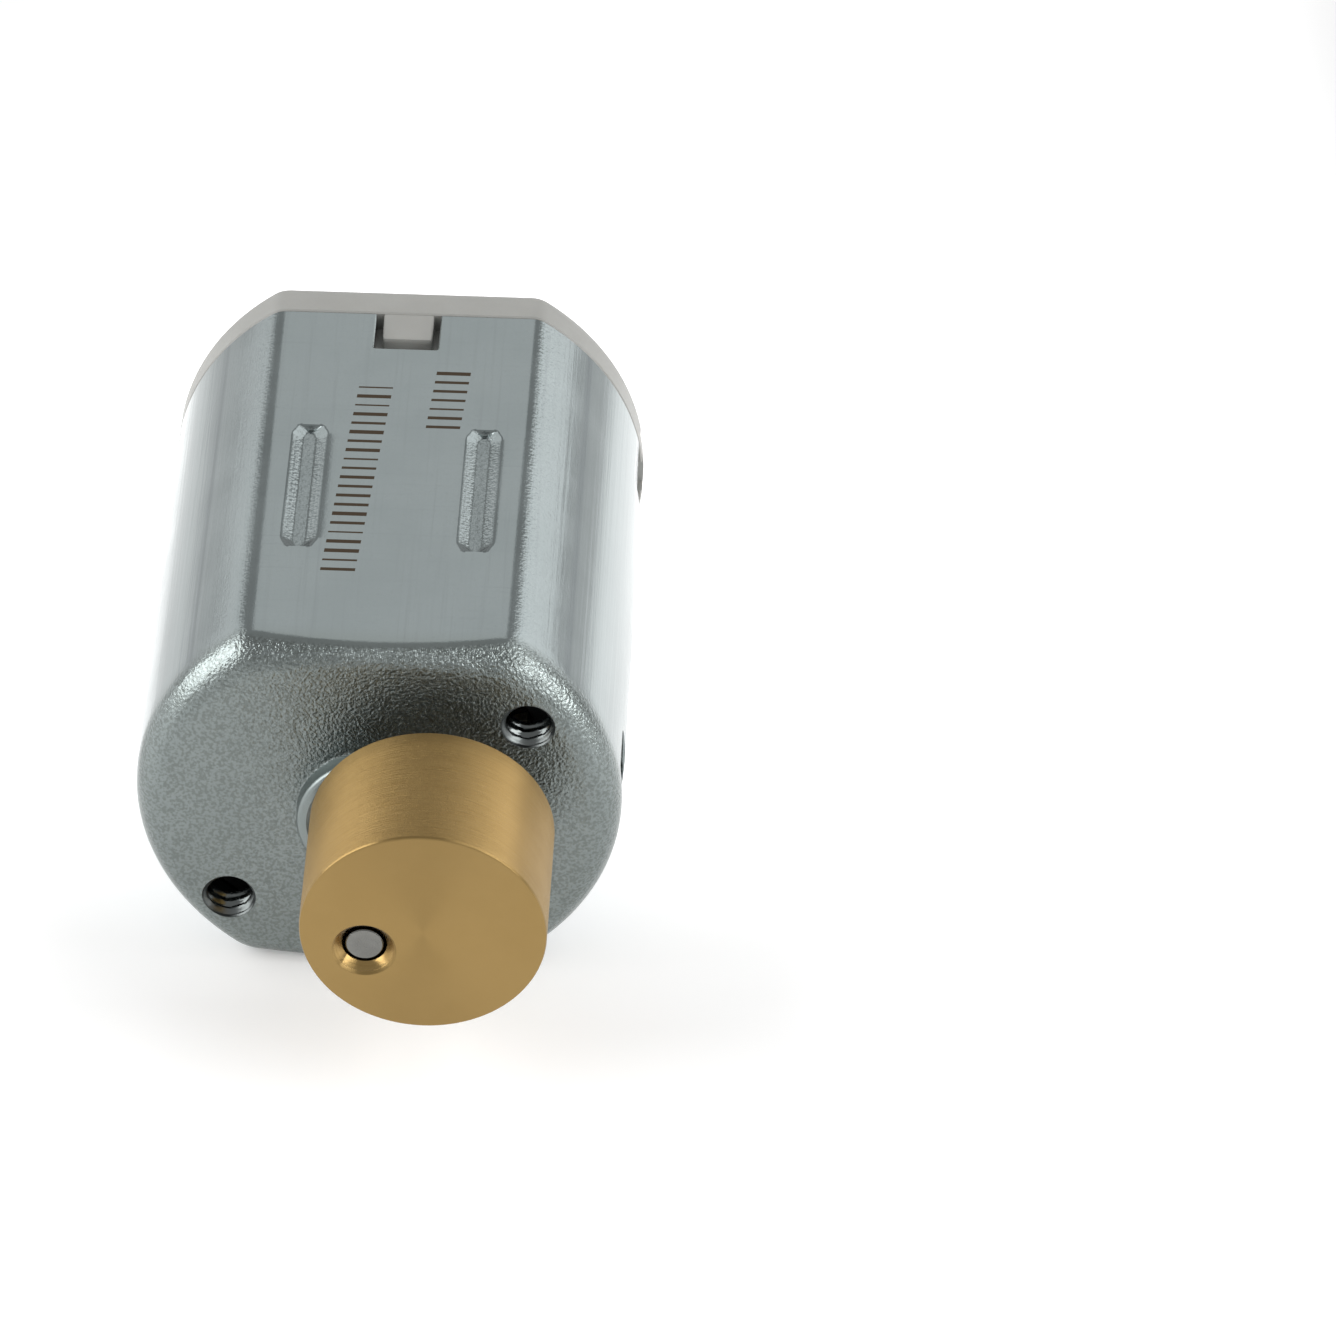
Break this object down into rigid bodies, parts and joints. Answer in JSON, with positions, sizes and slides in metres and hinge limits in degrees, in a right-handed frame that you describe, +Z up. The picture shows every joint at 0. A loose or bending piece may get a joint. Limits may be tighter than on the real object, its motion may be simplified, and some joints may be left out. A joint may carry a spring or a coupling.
{
  "type": "cylindrical vibration motor",
  "caption": "Flat-sided cylindrical DC motor with an off-centre brass weight on its shaft, a steel can and a moulded endcap with solder terminals.",
  "frame": {"origin": "centre of the can's lower flat, which the motor rests on, 6.9 mm behind the can's front face", "axes": "+Z up, square to the flats; Y along the shaft, with the weight at -Y and the endcap at +Y; +X to the right seen from the weight"},
  "size_m": [0.012, 0.0223, 0.01],
  "materials": {
    "zinc_steel": "bright zinc plate with a fine orange-peel grain",
    "cap_plastic": "moulded satin grey nylon",
    "brass": "turned, fine circumferential marks",
    "shaft_steel": "ground",
    "bronze": "sintered bronze",
    "magnet": "sintered magnet, dark grey",
    "core_steel": "stamped electrical steel",
    "nylon": "natural nylon",
    "enamelled_copper": "enamelled copper wire",
    "copper": "bare copper alloy",
    "tinned": "tin-plated copper alloy"
  },
  "bodies": {
    "housing": {"can": "zinc_steel", "endcap": "cap_plastic", "front_bearing": "bronze", "rear_bearing": "bronze", "magnet_left": "magnet", "magnet_right": "magnet", "terminal_positive": "tinned", "terminal_negative": "tinned", "brush_positive": "copper", "brush_negative": "copper"},
    "rotor": {"shaft": "shaft_steel", "lamination_01": "core_steel", "lamination_02": "core_steel", "lamination_03": "core_steel", "lamination_04": "core_steel", "lamination_05": "core_steel", "lamination_06": "core_steel", "lamination_07": "core_steel", "lamination_08": "core_steel", "lamination_09": "core_steel", "lamination_10": "core_steel", "insulator_front": "nylon", "insulator_rear": "nylon", "winding_1": "enamelled_copper", "winding_2": "enamelled_copper", "winding_3": "enamelled_copper", "commutator_hub": "nylon", "commutator_segment_1": "copper", "commutator_segment_2": "copper", "commutator_segment_3": "copper", "commutator_ring": "nylon", "thrust_washer_front": "nylon", "thrust_washer_rear": "nylon", "eccentric_weight": "brass"}
  },
  "joints": [
    {"name": "rotor_spin", "type": "hinge", "parent": "housing", "child": "rotor", "pos_m": [0, 0, 0.005], "axis": [0, 1, 0], "continuous": true}
  ]
}
